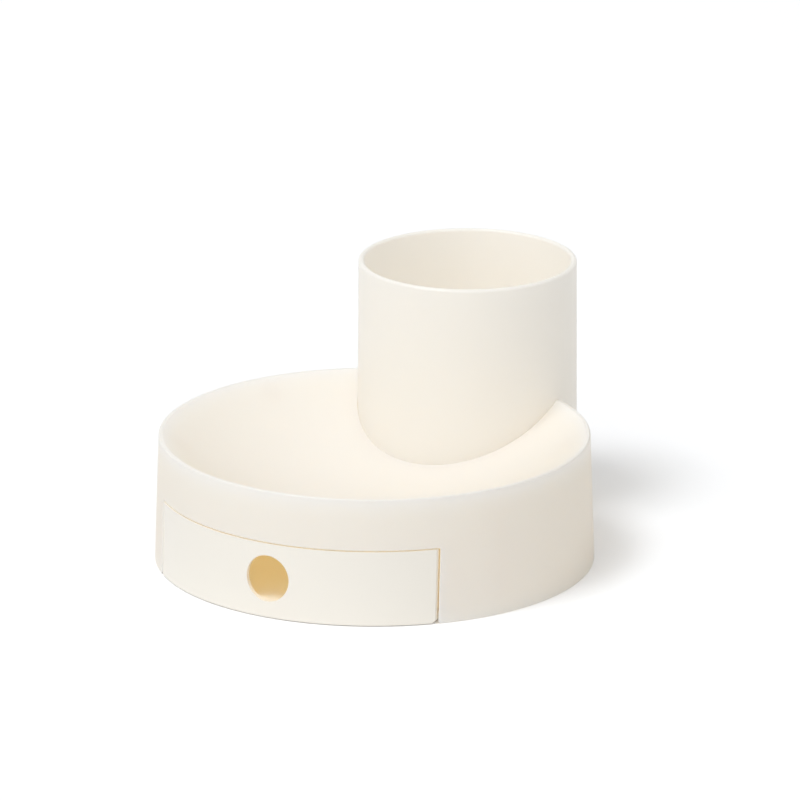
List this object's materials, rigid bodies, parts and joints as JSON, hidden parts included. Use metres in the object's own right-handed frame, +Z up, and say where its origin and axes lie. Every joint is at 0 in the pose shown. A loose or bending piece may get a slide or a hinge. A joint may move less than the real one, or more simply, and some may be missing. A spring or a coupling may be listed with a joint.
{
  "type": "pen holder with drawer",
  "caption": "Round desk organizer with a dished top, a curved drawer with a finger hole that slides out of its front, and a tall open pen cup let into its back.",
  "frame": {"origin": "on the desk, under the middle of the footprint", "axes": "+Z up, -Y the way the drawer opens, +Y towards the cup, +X to the right of someone facing the drawer"},
  "size_m": [0.15, 0.18, 0.088],
  "materials": {
    "housing_plastic": "smooth satin cream moulding",
    "cup_plastic": "smooth satin cream moulding",
    "drawer_plastic": "smooth satin cream moulding",
    "plate_plastic": "fine matt cream moulding",
    "screw_steel": "zinc plated",
    "foot_rubber": "soft matt pad"
  },
  "bodies": {
    "housing": {"housing_shell": "housing_plastic", "pen_cup": "cup_plastic", "base_plate": "plate_plastic", "base_screws": "screw_steel", "cup_screws": "screw_steel", "foot_front_left": "foot_rubber", "foot_front_right": "foot_rubber", "foot_rear_left": "foot_rubber", "foot_rear_right": "foot_rubber", "foot_cup": "foot_rubber"},
    "drawer": {"drawer": "drawer_plastic"}
  },
  "joints": [
    {"name": "drawer_slide", "type": "slide", "parent": "housing", "child": "drawer", "axis": [0, -1, 0], "range_m": [0, 0.0609]}
  ]
}
